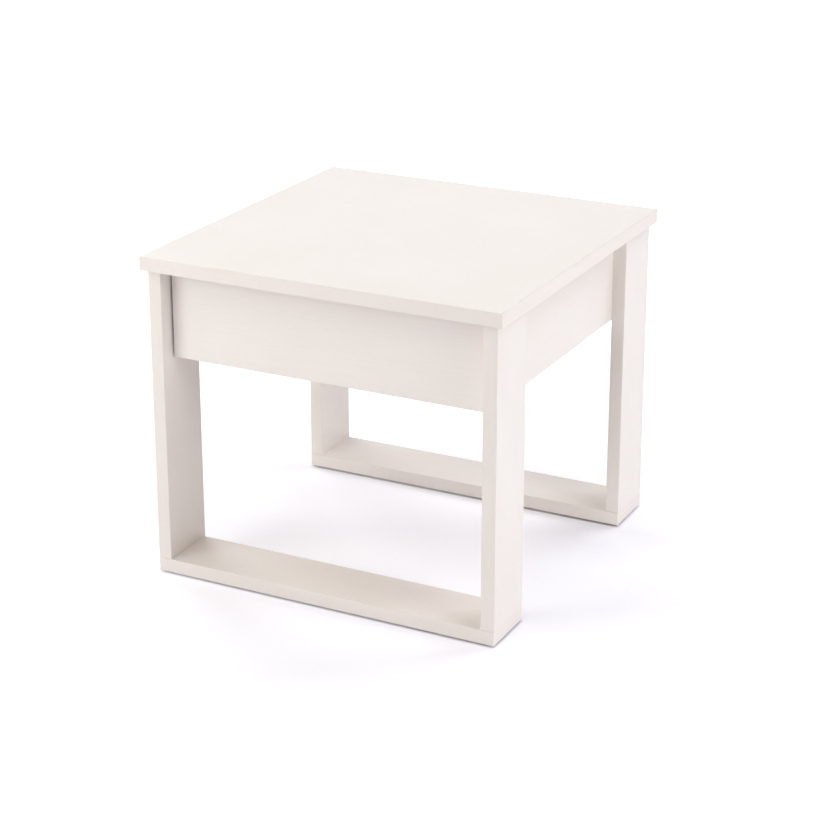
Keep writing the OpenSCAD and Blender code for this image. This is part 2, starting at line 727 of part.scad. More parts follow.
module carcass_dowels() color(BEECH) {
    at_spots(leg_dowels) dowel();
    at_spots(apron_dowels) dowel();
}
module drawer_dowels() color(BEECH) at_spots(drawer_dowel_spots) dowel();
module carcass_cam_locks() color(ZINC) at_spots(apron_cams) cam_lock(cam_depth, panel_t);
module carcass_cam_bolts() color(ZINC) at_spots(apron_cams) cam_bolt();
module drawer_cam_locks() color(ZINC) at_spots(drawer_cam_spots) cam_lock(drawer_cam_depth, drawer_t);
module drawer_cam_bolts() color(ZINC) at_spots(drawer_cam_spots) cam_bolt();

module drawer_bumpers() color(NYLON) at_spots(bumper_spots) rotate_extrude()
    polygon([[0, 0], [bumper_r, 0], [bumper_r, bumper_t - bumper_bevel], [bumper_r - bumper_bevel, bumper_t],
             [0, bumper_t]]);

// Nail of a glide, its head sunk in the glide, pointing up into the foot rail
module nail(play = 0) {
    low = glide_h - nail_head_h - nail_sink;
    translate([0, 0, low]) cylinder(r = nail_head_r + play, h = nail_head_h);
    translate([0, 0, low + nail_head_h / 2])
        cylinder(r = nail_r + play, h = nail_head_h / 2 + nail_sink + nail_len + tip_room(play));
}

module floor_glides() color(NYLON) at_spots(glide_spots) difference() {
    rotate_extrude() polygon([
        [0, 0], [glide_r - glide_bevel, 0], [glide_r, glide_bevel], [glide_r, glide_h], [0, glide_h]
    ]);
    nail(FIT);
}
module floor_glide_nails() color(ZINC) at_spots(glide_spots) nail();

table_top();
top_edge_bands();
leg([-leg_x, -leg_y]);  // leg_front_left
leg([leg_x, -leg_y]);  // leg_front_right
leg([-leg_x, leg_y]);  // leg_rear_left
leg([leg_x, leg_y]);  // leg_rear_right
leg_edge_bands();
foot_rail(-leg_y);  // foot_rail_front
foot_rail(leg_y);  // foot_rail_rear
rail_edge_bands();
side_panel(-1);  // side_panel_left
side_panel(1);  // side_panel_right
back_panel();
apron_edge_bands();
drawer_front();
drawer_front_edge_bands();
drawer_side(-1);  // drawer_side_left
drawer_side(1);  // drawer_side_right
drawer_back();
drawer_bottom();
cabinet_runner(-1);  // cabinet_runner_left
cabinet_runner(1);  // cabinet_runner_right
drawer_runner(-1);  // drawer_runner_left
drawer_runner(1);  // drawer_runner_right
cabinet_roller(-1);  // cabinet_roller_left
cabinet_roller(1);  // cabinet_roller_right
drawer_roller(-1);  // drawer_roller_left
drawer_roller(1);  // drawer_roller_right
cabinet_roller_rivets();
drawer_roller_rivets();
carcass_dowels();
carcass_cam_locks();
carcass_cam_bolts();
rail_screws();
leg_screws();
cabinet_runner_screws();
drawer_dowels();
drawer_cam_locks();
drawer_cam_bolts();
drawer_runner_screws();
drawer_back_screws();
drawer_bottom_screws();
drawer_bumpers();
floor_glides();
floor_glide_nails();
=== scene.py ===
"""Square side table of white laminated board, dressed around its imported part. Metres, Z up.

The boards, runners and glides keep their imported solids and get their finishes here. Edge bands,
fittings and rollers are new surfaces worked out with numpy, each in place of the node it stands for.
"""
import math

import bpy
import numpy as np
from mathutils import Matrix, Vector


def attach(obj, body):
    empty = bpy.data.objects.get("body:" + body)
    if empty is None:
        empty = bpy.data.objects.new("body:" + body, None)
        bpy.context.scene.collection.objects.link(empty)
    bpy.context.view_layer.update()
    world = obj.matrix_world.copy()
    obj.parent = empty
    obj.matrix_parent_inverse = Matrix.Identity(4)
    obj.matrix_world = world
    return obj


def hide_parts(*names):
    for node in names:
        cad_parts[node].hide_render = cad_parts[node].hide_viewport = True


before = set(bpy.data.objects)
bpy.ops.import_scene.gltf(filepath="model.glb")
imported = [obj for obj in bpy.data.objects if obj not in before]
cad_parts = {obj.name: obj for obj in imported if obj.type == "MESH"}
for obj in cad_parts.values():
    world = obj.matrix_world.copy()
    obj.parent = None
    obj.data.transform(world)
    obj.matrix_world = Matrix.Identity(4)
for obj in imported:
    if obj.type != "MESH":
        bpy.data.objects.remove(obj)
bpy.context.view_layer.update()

MM = 0.001
TAU = 2 * math.pi

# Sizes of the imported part, in millimetres
TOP_W, TOP_Z, BOARD_T, PANEL_T = 600, 498, 22, 16
BASE_W, GLIDE_H, LEG_Z, LEG_D, LEG_PITCH = 580, 3, 25, 100, 60
LEG_X, LEG_Y, LEG_FACE_X, CASE_X, PANEL_X = 279, 242, 268, 252, 260
APRON_Z, APRON_H, PANEL_Y, BACK_Y, FRONT_REAR_Y = 358, 140, -248, 250, -250
FRONT_W, FRONT_Y, FRONT_Z, FRONT_H = 530, -266, 355, 140
DRAWER_X, DRAWER_T, DRAWER_Z, DRAWER_H, DRAWER_END_Y = 239.5, 12, 370, 100, 200
GROOVE_Z, SHEET_T, CHANNEL_MID_Z = 378, 1.2, 382.8
DRAWER_SCREW_Z, CABINET_AXLE_Y, CABINET_AXLE_Z, DRAWER_AXLE_Y = 385.1, -232, 381.8, 187.5
CABINET_ROLLER_R, DRAWER_ROLLER_R, ROLLER_W, ROLLER_PLAY = 8, 9, 7.6, 0.3
CAM_DEPTH, DRAWER_CAM_DEPTH, CAM_SETBACK, CAM_PLAY = 12.5, 9.5, 24, 0.3
CABINET_RUNNER_Y, RUNNER_LEN, DRAWER_RUNNER_Y, DRAWER_RUNNER_LEN = -246, 450, -249.5, 449
BAND_T, BAND_R = 1, 0.8
# Outermost cams and dowels: from the board's end, and on the back panel from the case's inner faces
CAM_END, DOWEL_END, BACK_CAM_END, BACK_DOWEL_END = 70, 20, 100, 38
# Where the others sit, as shares of the length or height that they are spread over
LEG_SCREWS, CABINET_SCREWS, DRAWER_SCREWS = (0.39, 0.65), (0.11, 0.5, 0.93), (0.12, 0.5, 0.9)
BACK_SCREWS, DRAWER_CAM, DRAWER_DOWELS, BUMPERS = (0.4, 0.8), 0.58, (0.3, 0.84), (0.15, 0.85)
SIDES = (-1, 1)
SHARP_FROM = 40  # degrees: a fold of this much or more is drawn as an edge


# Places: a point in millimetres, the direction of the fitting's axis and its turn about it
def turn(axis, degrees):
    """Rotation about one axis."""
    return Matrix.Rotation(math.radians(degrees), 4, axis)


UP, DOWN = turn("X", 0), turn("X", 180)
BACK, FRONT = turn("X", -90), turn("X", 90)
RIGHT, LEFT = turn("Y", 90), turn("Y", -90)


def outward(side):
    """Direction away from the table's middle on its left or right side."""
    return RIGHT if side > 0 else LEFT


def place(point, direction, spin=0):
    """Where a fitting sits: it is spun about its own Z, pointed and then moved."""
    return Matrix.Translation(Vector(point)) @ direction @ turn("Z", spin)


def towards(azimuth, elevation):
    """Unit vector in degrees: azimuth from the front to the right, elevation up from the floor."""
    az, el = math.radians(azimuth), math.radians(elevation)
    return Vector((math.sin(az) * math.cos(el), -math.cos(az) * math.cos(el), math.sin(el)))


def put(name, data):
    """A new object at the origin of the scene."""
    made = bpy.data.objects.new(name, data)
    bpy.context.scene.collection.objects.link(made)
    return made


def row_of_quads(rows, columns, wrap_rows=False):
    """Quads of a tube on a grid: ring i joins ring i + 1, and the last column joins the first."""
    i, j = np.meshgrid(np.arange(rows if wrap_rows else rows - 1), np.arange(columns), indexing="ij")
    k, n = (j + 1) % columns, (i + 1) % rows
    return np.stack([i * columns + j, i * columns + k, n * columns + k, n * columns + j], -1).reshape(-1, 4)


def swept_round(profile, columns, shift):
    """Grid of a surface of revolution: the profile's (r, z) at angle a is (r cos a, r sin a, z).

    shift(a, r, z) gives lengths added to r and z, for threads, flutes, sockets and pockets.
    """
    profile = np.asarray(profile, float)
    a = np.linspace(0, TAU, columns, endpoint=False)[None, :]
    r, z = profile[:, :1], profile[:, 1:]
    if shift:
        more_r, more_z = shift(a, r, z)
        r, z = r + more_r, z + more_z
    return np.stack(np.broadcast_arrays(r * np.cos(a), r * np.sin(a), z), -1).reshape(-1, 3)


def turned(profile, columns, shift=None):
    """Solid of revolution from pole to pole, upwards: each pole is one point, fanned to its ring."""
    rows = len(profile) - 2
    grid = swept_round(profile[1:-1], columns, shift)
    low, high, last = len(grid), len(grid) + 1, (rows - 1) * columns
    j = np.arange(columns)
    k = (j + 1) % columns
    faces = row_of_quads(rows, columns).tolist()
    faces += np.stack([np.full(columns, low), k, j], -1).tolist()
    faces += np.stack([np.full(columns, high), last + j, last + k], -1).tolist()
    return np.vstack([grid, [[0, 0, profile[0][1]], [0, 0, profile[-1][1]]]]), faces


def bored(profile, columns, shift=None):
    """Solid of revolution with a bore: a closed profile, anticlockwise in (r, z), carried round."""
    return swept_round(profile, columns, shift), row_of_quads(len(profile), columns, wrap_rows=True).tolist()


def joined(*shapes):
    """Several closed shapes as one: their points one after the other, the faces' numbers moved on."""
    points, faces, start = [], [], 0
    for p, f in shapes:
        points.append(p)
        faces += [[v + start for v in face] for face in f]
        start += len(p)
    return np.vstack(points), faces


def piece(name, body, material, replaces, copies):
    """One mesh of several shapes, each a pair of points and faces with its place, riding on a body.

    The layer "own" keeps where each point was in its own shape, in metres, for the finish's pattern
    to follow. Each copy's is moved along by a metre, so that no two are marked alike.
    """
    points, faces, own = np.empty((0, 3)), [], []
    for number, ((local, shape_faces), where) in enumerate(copies):
        faces += [[v + len(points) for v in face] for face in shape_faces]
        move = np.array(where)
        points = np.vstack([points, local @ move[:3, :3].T + move[:3, 3]])
        own.append(local * MM + number)
    mesh = bpy.data.meshes.new(name)
    mesh.from_pydata((points * MM).tolist(), [], faces)
    mesh.validate()
    mesh.materials.append(material)
    layer = mesh.attributes.new("own", "FLOAT_VECTOR", "POINT")
    layer.data.foreach_set("vector", np.vstack(own).ravel())
    mesh.shade_smooth()
    mesh.set_sharp_from_angle(angle=math.radians(SHARP_FROM))
    made = put(name, mesh)
    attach(made, body)
    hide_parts(*replaces)


# Shapes of the pieces, in millimetres, each drawn along Z from the joint or face that it starts at
def quarter(centre, radius, start, steps=5):
    """Quarter of a circle as points: centre + radius (cos t, sin t), t from start over 90 degrees."""
    t = np.radians(start + np.linspace(0, 90, steps + 1))
    return np.stack([centre[0] + radius * np.cos(t), centre[1] + radius * np.sin(t)], -1)


def edge_strip(length, width, trimmed):
    """Banding strip: its section carried along Z, from the glued face x = 0 out to its thickness.

    The section has two rounded arrises and a fine chamfer at each glue line. Near a trimmed end x
    shrinks as a quarter circle does: the face comes in by R - sqrt(R^2 - (R - s)^2) at s from the end.
    """
    half, seam = width / 2, 0.12
    section = np.vstack([
        [[0, half - seam], [0, seam - half], [seam, -half]],
        quarter((BAND_T - BAND_R, BAND_R - half), BAND_R, -90),
        quarter((BAND_T - BAND_R, half - BAND_R), BAND_R, 0),
        [[seam, half]],
    ])
    s = np.array([0, 0.08, 0.25, 0.5, BAND_R]) if trimmed else np.array([0.0])
    inset = BAND_R - np.sqrt(BAND_R ** 2 - (BAND_R - s) ** 2) if trimmed else np.zeros(1)
    along = np.concatenate([s, length - s[::-1]]) - length / 2
    share = 1 - np.concatenate([inset, inset[::-1]]) / BAND_T
    rows, columns = len(along), len(section)
    grid = np.empty((rows, columns, 3))
    grid[..., 0] = section[None, :, 0] * share[:, None]
    grid[..., 1] = section[None, :, 1]
    grid[..., 2] = along[:, None]
    ends = [list(range(columns))[::-1], list(range((rows - 1) * columns, rows * columns))]
    return grid.reshape(-1, 3), row_of_quads(rows, columns).tolist() + ends


def facing(centre, out, along):
    """Place of a strip: its thickness points along out, its length along the other axis."""
    out, along = Vector(out), Vector(along)
    across = along.cross(out)
    turned_axes = Matrix((out, across, along)).transposed().to_4x4()
    return Matrix.Translation(Vector(centre)) @ turned_axes


def ridge(a, z, pitch):
    """Thread form at angle a and height z: 1 on the crest, 0 in the root, one pitch up in a turn.

    It is a triangle wave of z / pitch - a / turn, cut off flat above 1 and below 0.
    """
    return np.clip(1.15 - 2.6 * np.abs(2 * ((z / pitch - a / TAU) % 1) - 1), 0, 1)


def cross_slot(a, r, size, width):
    """1 inside a cross of that size and arm width, 0 outside, with sloping flanks between.

    Its arms are where the smaller of |x| and |y| is under half the width, and end at half the size.
    """
    side_flank, end_flank = 0.2, 0.3
    x, y = np.abs(r * np.cos(a + TAU / 8)), np.abs(r * np.sin(a + TAU / 8))
    in_arm = np.clip((width / 2 - np.minimum(x, y)) / side_flank + 0.5, 0, 1)
    return in_arm * np.clip((size / 2 - r) / end_flank + 0.5, 0, 1)


def hexagon(a, r, apothem):
    """1 inside a hexagon of that apothem, 0 outside, by the distance to its nearest flat."""
    flank = 0.15
    flat = r * np.cos((a + TAU / 12) % (TAU / 6) - TAU / 12)
    return np.clip((apothem - flat) / flank + 0.5, 0, 1)


def screw(length, plain, thread, head, drive):
    """Countersunk screw: head face on z = 0 with its socket, cone, plain shank, thread and tip.

    A profile carried round Z: from z = plain on, r shrinks to the core's in the thread's root, and at
    the tip it falls by 0.7 mm a millimetre. drive(a, r) is 1 in the socket, which lowers the face by
    its depth. thread is (radius, core radius, pitch), head (radius, height, socket depth and radius).
    """
    radius, core, pitch = thread
    head_r, head_h, deep, socket = head
    tip_r, taper, rings_in_pitch = 0.25, 0.7, 5
    face = [(r, 0) for r in np.linspace(0.12 * socket, 1.15 * socket, 11)]
    heights = np.arange(plain, length - 0.3, pitch / rings_in_pitch)
    body = [(min(radius, tip_r + taper * (length - z)), z) for z in heights]
    profile = ([(0, deep)] + face + [(head_r - 0.15, 0), (head_r, 0.12), (head_r - 0.1, 0.4),
               (core + 0.3, head_h), (core + 0.1, plain - pitch / 2)] + body + [(0, length)])

    def shift(a, r, z):
        cut = (z >= plain) * (1 - ridge(a, z, pitch)) * np.clip((z - plain) / pitch, 0.15, 1)
        return -r * (1 - core / radius) * cut, (z == 0) * (r < 1.2 * socket) * deep * drive(a, r)
    return turned(profile, 36, shift)


def fluted_dowel():
    """Beech dowel across a joint: a bevelled rod with flutes, r less 0.3 ((1 + cos 14 a) / 2)^2 mm."""
    flutes, flute_depth, core = 14, 0.3, 2.7
    profile = [(0, -20), (core, -20), (3.5, -19.5), (3.95, -18.4), (4, -17), (4, 7), (3.95, 8.6), (3.4, 9.6),
               (core, 10), (0, 10)]

    def shift(a, r, z):
        flute = (0.5 + 0.5 * np.cos(flutes * a)) ** 2
        return -flute_depth * flute * np.clip(r - core, 0, 1), np.zeros_like(r)
    return turned(profile, 6 * flutes, shift)


def cam_bolt():
    """Cam bolt: domed head in the lock, neck, shank and collar, and a thread in the other board.

    A profile carried round Z, whose r shrinks by up to 0.27 of itself in the thread's root.
    """
    start, end, pitch, thread_r, root = -0.5, 11, 1.75, 3, 0.27
    tip_r, taper = 0.6, 0.9
    thread = [(min(thread_r, tip_r + taper * (end - z)), z) for z in np.arange(start, end - 0.2, pitch / 5)]
    profile = [(0, -25.5), (1.4, -25.45), (2.5, -25.2), (2.95, -24.6), (3, -23.4), (2.6, -23), (1.9, -22.5),
               (1.9, -19.2), (2.45, -18.2), (2.5, -17.8), (2.5, -1.1)] + thread + [(0, end)]

    def shift(a, r, z):
        cut = (z >= start) * (1 - ridge(a, z, pitch)) * np.clip((z - start) / pitch, 0, 1)
        return -root * r * cut, np.zeros_like(r + a)
    return turned(profile, 36, shift)


def cam_lock(depth, board):
    """Die-cast cam lock, Z from the bottom of its pocket to the open face, the bolt along +Y.

    A floor disc, a wall that is a rectangle carried round 250 degrees with its inner radius growing
    as a spiral, 3.6 + 1.6 t mm, and a cap disc whose face is sunk by the cross slot.
    """
    radius, top, axis = 7.45, depth - CAM_PLAY, depth - board / 2
    low, high, steps = axis - 3.25, axis + 3.3, 41
    start, swing, inner_r, growth = 145, 250, 3.6, 1.6
    cross_r, cross_depth, cross_size, cross_w = 4.5, 1.5, 7.2, 1.6
    floor_disc = turned([(0, 0), (6.9, 0), (7.2, 0.1), (7.2, low - 0.05), (6.9, low), (0, low)], 48)
    t = np.linspace(0, 1, steps)[:, None]
    a = np.radians(start + swing * t)
    inner, outer = inner_r + growth * t, np.full_like(t, radius)
    r = np.hstack([inner, outer, outer, inner])
    z = np.broadcast_to([low, low, high, high], r.shape)
    wall = np.stack([r * np.cos(a), r * np.sin(a), z], -1).reshape(-1, 3)
    wall_faces = [[f[0], f[3], f[2], f[1]] for f in row_of_quads(steps, 4).tolist()]
    wall_faces += [[0, 1, 2, 3], [4 * steps - k for k in (1, 2, 3, 4)]]

    def sunk(a, r, z):
        down = (z == top) * (r < cross_r) * -cross_depth
        return np.zeros_like(r), down * cross_slot(a, r, cross_size, cross_w)

    face = [(face_r, top) for face_r in np.linspace(4.4, 0.3, 15)]
    cap = turned([(0, high), (radius, high), (radius, top - 0.9), (radius - 0.25, top - 0.7),
                  (radius - 0.25, top - 0.15), (radius - 0.4, top), (5.6, top), (5.4, top - 0.25),
                  (4.8, top - 0.25), (4.6, top)] + face + [(0, top - cross_depth)], 72, sunk)
    return joined(floor_disc, (wall, wall_faces), cap)


def roller(radius, width):
    """Nylon runner roller: a crowned tread and a hub, with a web sunk between eight ribs.

    A closed profile carried round Z. In its web, z moves to the middle by the pocket's depth times a
    wave of 8 a, cut off at 0 and 1.
    """
    hub, web, ribs, pocket_depth = 4.1, np.linspace(4.5, radius - 1.7, 4), 8, 0.9
    low = ([(2.05, 0.15), (2.2, 0), (hub, 0)] + [(r, 0.5) for r in web]
           + [(radius - 1.3, 0), (radius - 0.5, 0), (radius - 0.12, 0.3), (radius - 0.03, 1.0)])
    profile = low + [(radius, width / 2)] + [(r, width - z) for r, z in reversed(low)]

    def shift(a, r, z):
        in_web = (r > web[0] - 0.01) * (r < web[-1] + 0.01)
        pocket = pocket_depth * np.clip(0.5 - 1.6 * np.cos(ribs * a), 0, 1) * in_web
        return np.zeros_like(r + a), pocket * np.where(z < width / 2, 1, -1)
    return bored(profile, 96, shift)


def rivet(length):
    """Roller rivet: shaft from the runner's web, then a domed head with a shallow dimple.

    A profile carried round Z, whose dome is a quarter circle stretched to 2.7 by 0.6 mm.
    """
    flat_r, rim, dome_r, dome_h = 0.5, length + 0.3, 2.7, 0.6
    dome = quarter((flat_r, rim), 1, 0, 6) - (flat_r, rim)
    head = [(flat_r + dome_r * x, rim + dome_h * y) for x, y in dome]
    return turned([(0, 0), (1.9, 0), (2, 0.1), (2, length), (3.1, length), (3.2, length + 0.1)] + head
                  + [(0, length + 0.82)], 40)


def bumper():
    """Soft stop: the profile of a flattened dome carried round Z, clear of the side panel."""
    dome = [(0, 0), (4.8, 0), (5, 0.15), (4.95, 0.6), (4.5, 1.1), (3.6, 1.45), (2.2, 1.64), (0, 1.7)]
    return turned(dome, 48)


# Finishes. Noise lies around 0.5: each pair is the span of it that a finish's range is run over
FINE_SPAN, SUM_SPAN, CHIP_SPAN = (0.3, 0.7), (0.7, 1.3), (0.35, 0.65)


def colour(code):
    """sRGB hex to linear: c / 12.92 below 0.04045, else ((c + 0.055) / 1.055) to the power 2.4."""
    c = np.array([int(code[i:i + 2], 16) for i in (1, 3, 5)]) / 255
    linear = np.where(c <= 0.04045, c / 12.92, ((c + 0.055) / 1.055) ** 2.4)
    return (*linear.tolist(), 1.0)


def add(tree, kind, settings=(), links=()):
    """Adds a node, sets its properties and inputs, and links its inputs from (node, output) pairs."""
    node = tree.nodes.new(kind)
    for key, value in dict(settings).items():
        if isinstance(key, str) and hasattr(node, key):
            setattr(node, key, value)
        else:
            node.inputs[key].default_value = value
    for key, (source, output) in dict(links).items():
        tree.links.new(source.outputs[output], node.inputs[key])
    return node


def finish(name, shader):
    """An empty material with one Principled shader, its constants set on the sockets."""
    material = bpy.data.materials.new(name)
    material.use_nodes = True
    tree = material.node_tree
    tree.nodes.clear()
    principled = add(tree, "ShaderNodeBsdfPrincipled", shader)
    add(tree, "ShaderNodeOutputMaterial", links={"Surface": (principled, "BSDF")})
    return material, tree, principled


def surface(name, shader, tones, grain, cloud, gloss, relief, layer=None):
    """Finish whose colour, gloss and relief come from two noises, on Object coordinates or a layer.

    grain is the size of the fine noise's marks along X, Y and Z, cloud that of the broad one's, and
    relief the marks' height, all in millimetres. The two tones mix by the sum of the noises, and
    roughness runs over the two values of gloss by the fine one.
    """
    material, tree, principled = finish(name, shader)
    if layer:
        at = (add(tree, "ShaderNodeAttribute", {"attribute_name": layer}), "Vector")
    else:
        at = (add(tree, "ShaderNodeTexCoord"), "Object")
    scaled = add(tree, "ShaderNodeMapping", {"Scale": [1 / (size * MM) for size in grain]}, {"Vector": at})
    fine = add(tree, "ShaderNodeTexNoise", {"Scale": 1.0, "Detail": 3.0}, {"Vector": (scaled, "Vector")})
    broad = add(tree, "ShaderNodeTexNoise", {"Scale": 1 / (cloud * MM), "Detail": 2.0}, {"Vector": at})
    both = add(tree, "ShaderNodeMath", {"operation": "ADD"}, {0: (fine, "Fac"), 1: (broad, "Fac")})
    share = add(tree, "ShaderNodeMapRange", {"From Min": SUM_SPAN[0], "From Max": SUM_SPAN[1]},
                {"Value": (both, "Value")})
    tone = add(tree, "ShaderNodeMix", {"data_type": "RGBA", 6: colour(tones[0]), 7: colour(tones[1])},
               {0: (share, "Result")})
    rough = add(tree, "ShaderNodeMapRange", {
        "From Min": FINE_SPAN[0], "From Max": FINE_SPAN[1], "To Min": gloss[0], "To Max": gloss[1],
    }, {"Value": (fine, "Fac")})
    bump = add(tree, "ShaderNodeBump", {"Distance": relief * MM, "Strength": 1.0}, {"Height": (fine, "Fac")})
    for source, output, key in (
        (tone, 2, "Base Color"), (rough, "Result", "Roughness"), (bump, "Normal", "Normal"),
    ):
        tree.links.new(source.outputs[output], principled.inputs[key])
    return material


def raw_beyond(material, axis, level, above, tones, grain):
    """Raw board on one side of a plane, where the facing ends: its own marks, and dull.

    The plane is at that level of the axis, in millimetres, and grain is the size of the raw marks.
    """
    raw_roughness = 0.8
    tree = material.node_tree
    principled = next(n for n in tree.nodes if n.type == "BSDF_PRINCIPLED")
    at = add(tree, "ShaderNodeTexCoord")
    parts = add(tree, "ShaderNodeSeparateXYZ", {}, {"Vector": (at, "Object")})
    past = add(tree, "ShaderNodeMath", {"operation": "GREATER_THAN" if above else "LESS_THAN", 1: level * MM},
               {0: (parts, axis)})
    scaled = add(tree, "ShaderNodeMapping", {"Scale": [1 / (size * MM) for size in grain]},
                 {"Vector": (at, "Object")})
    marks = add(tree, "ShaderNodeTexNoise", {"Scale": 1.0, "Detail": 5.0}, {"Vector": (scaled, "Vector")})
    spread = add(tree, "ShaderNodeMapRange", {"From Min": CHIP_SPAN[0], "From Max": CHIP_SPAN[1]},
                 {"Value": (marks, "Fac")})
    raw = add(tree, "ShaderNodeMix", {"data_type": "RGBA", 6: colour(tones[0]), 7: colour(tones[1])},
              {0: (spread, "Result")})
    # Sockets of the mix: its output, the input for the facing and, for the colour, that for the board
    for key, kind, output, facing_input, board in (
        ("Base Color", "RGBA", 2, 6, {7: (raw, 2)}),
        ("Roughness", "FLOAT", 0, 2, {}),
    ):
        link = principled.inputs[key].links[0]
        mixed = add(tree, "ShaderNodeMix", {"data_type": kind, 3: raw_roughness},
                    {0: (past, "Value"), facing_input: (link.from_node, link.from_socket.name), **board})
        tree.links.new(mixed.outputs[output], principled.inputs[key])
    return material


# Melamine-faced chipboard: white decor paper in resin, pressed on the board by a satin plate. The eye
# gets a warm white, a broad soft gloss and the faintest streaks along the board. The plate's pores are
# about 0.2 mm; they are drawn 1.6 mm wide, the finest that still shows.
LAMINATE = {
    axis: surface(f"melamine_laminate_{axis}", {"IOR": 1.5}, ("#EBE4DE", "#EEE8E3"),
                  [90 if other == axis else 1.6 for other in "XYZ"], 160, (0.36, 0.44), 0.012)
    for axis in "XYZ"}

# ABS edge band: extruded strip, glued on hot, its arrises rounded by a scraper and buffed. A little
# pinker and glossier than the boards, with the scraper's faint lines along the strip.
EDGING = surface("abs_edging", {"IOR": 1.52}, ("#E9E1DA", "#ECE5DF"), (1.5, 1.5, 120), 140, (0.3, 0.38),
                 0.012, "own")

# Paper foil on the drawer boards: printed and lacquered paper, wrapped round the long edges and cut
# off at the ends, where the chips of the board show. Matt, with fine streaks along the board.
foil_look = ({"IOR": 1.5}, ("#E9E4DE", "#EDE9E4"), (1.6, 60, 1.6), 140, (0.45, 0.55), 0.02)
CUT_PLAY = 0.1  # mm before the end, so that the whole end face is past the plane
FOIL = surface("paper_foil", *foil_look)
CUT_FOIL = raw_beyond(surface("paper_foil_cut_ends", *foil_look), "Y", DRAWER_END_Y - CUT_PLAY, True,
                      ("#8F6E48", "#C9A877"), (1.8, 1.8, 1.2))

# Hardboard of the drawer bottom: hot-pressed fibre, white lacquer rolled on above and bare brown
# fibre below. Smooth and even inside the drawer, brown and a little cloudy from underneath.
BARE_SKIN = 0.4  # mm of the edge, up from the underside, that the lacquer doesn't reach
HARDBOARD = raw_beyond(
    surface("lacquered_hardboard", {"IOR": 1.5}, ("#E6E0D8", "#EBE6DF"), (3, 3, 3), 120, (0.45, 0.6), 0.015),
    "Z", GROOVE_Z + BARE_SKIN, False, ("#7A5636", "#93693F"), (4, 1.5, 1.5))

# Epoxy powder on rolled steel runners: sprayed as dust and baked. A cool white film with the slight
# ripple of orange peel, about 1.5 mm across, and clearer highlights than the boards have.
EPOXY = surface("epoxy_coated_steel", {"IOR": 1.5}, ("#E6E6E3", "#EBEBE8"), (1.5, 1.5, 1.5), 60,
                (0.26, 0.34), 0.015)

# Nylon of the rollers and stops: injection moulded and left as it comes from the mould. Milky
# off-white with a soft sheen; light goes in a little, which keeps the ribs from looking hard.
NYLON = surface("moulded_nylon", {"IOR": 1.53, "Subsurface Weight": 0.1, "Subsurface Scale": 0.002},
                ("#DDDDD5", "#E6E6DF"), (0.8, 0.8, 0.8), 12, (0.34, 0.44), 0.006, "own")

# Zinc-plated steel of screws, rivets and cam bolts: cold headed, thread rolled, plated bright. Cool
# grey metal, with fine marks round the shank from the rolling, drawn 0.5 mm wide.
ZINC = surface("zinc_plated_steel", {"Metallic": 1.0}, ("#B6B9BF", "#CDCFD2"), (6, 6, 0.5), 5,
               (0.22, 0.36), 0.004, "own")

# The same plating on the nails of the glides, whose flat round heads were struck in a die.
NAIL = surface("zinc_plated_nail", {"Metallic": 1.0}, ("#B6B9BF", "#CDCFD2"), (0.8, 0.8, 4), 5,
               (0.24, 0.38), 0.004)

# Die-cast zinc of the cam locks: cast under pressure, tumbled, left unplated. A dull mid grey with
# a pebbled skin, so the cross in its face reads by shade and not by glints.
CASTING = surface("zinc_casting", {"Metallic": 1.0}, ("#A1A3A8", "#B4B6B9"), (0.7, 0.7, 0.7), 4,
                  (0.42, 0.55), 0.02, "own")

# Beech of the dowels: turned rod, its flutes pressed in. Pinkish tan with short darker flecks that run
# with the grain along the dowel, dull and thirsty for glue.
BEECH = surface("turned_beech", {"IOR": 1.5}, ("#BF9565", "#DABA8F"), (0.5, 0.5, 5), 14, (0.5, 0.65), 0.03,
                "own")

# Polyethylene of the glides: moulded discs with a waxy, slightly grey skin, scuffed below.
POLYETHYLENE = surface("moulded_polyethylene", {"IOR": 1.51}, ("#CDCDC9", "#DADAD6"), (1, 1, 1), 10,
                       (0.4, 0.5), 0.01)


# Boards and runners keep their solids; a laminate's streaks run along its board
for material, nodes in (
    (LAMINATE["X"], ("table_top", "foot_rail_front", "foot_rail_rear", "drawer_front", "back_panel")),
    (LAMINATE["Y"], ("side_panel_left", "side_panel_right")),
    (LAMINATE["Z"], ("leg_front_left", "leg_front_right", "leg_rear_left", "leg_rear_right")),
    (FOIL, ("drawer_back",)),
    (CUT_FOIL, ("drawer_side_left", "drawer_side_right")),
    (HARDBOARD, ("drawer_bottom",)),
    (EPOXY, ("cabinet_runner_left", "cabinet_runner_right", "drawer_runner_left", "drawer_runner_right")),
    (POLYETHYLENE, ("floor_glides",)),
    (NAIL, ("floor_glide_nails",)),
):
    for node in nodes:
        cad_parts[node].data.materials.clear()
        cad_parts[node].data.materials.append(material)


def edge_bands(name, body, strips):
    """All strips of one node: each is length, width, trimmed ends or not, and its place."""
    piece(name, body, EDGING, (name.replace("_trim", "_bands"),),
          [(edge_strip(length, width, trimmed), where) for length, width, trimmed, where in strips])


def around(half_x, half_y, z, width):
    """Four strips round a board that lies flat: front and rear ones run past the side ones."""
    x, y = half_x - BAND_T, half_y - BAND_T
    return [(2 * half_x, width, True, facing((0, s * y, z), (0, s, 0), (1, 0, 0))) for s in SIDES] + [
        (2 * y, width, False, facing((s * x, 0, z), (s, 0, 0), (0, 1, 0))) for s in SIDES]


def moved(strips, by):
    """The same strips with their places shifted."""
    return [(*strip[:3], Matrix.Translation(Vector(by)) @ strip[3]) for strip in strips]


LEGS = [(sx * LEG_X, sy * LEG_Y) for sx in SIDES for sy in SIDES]
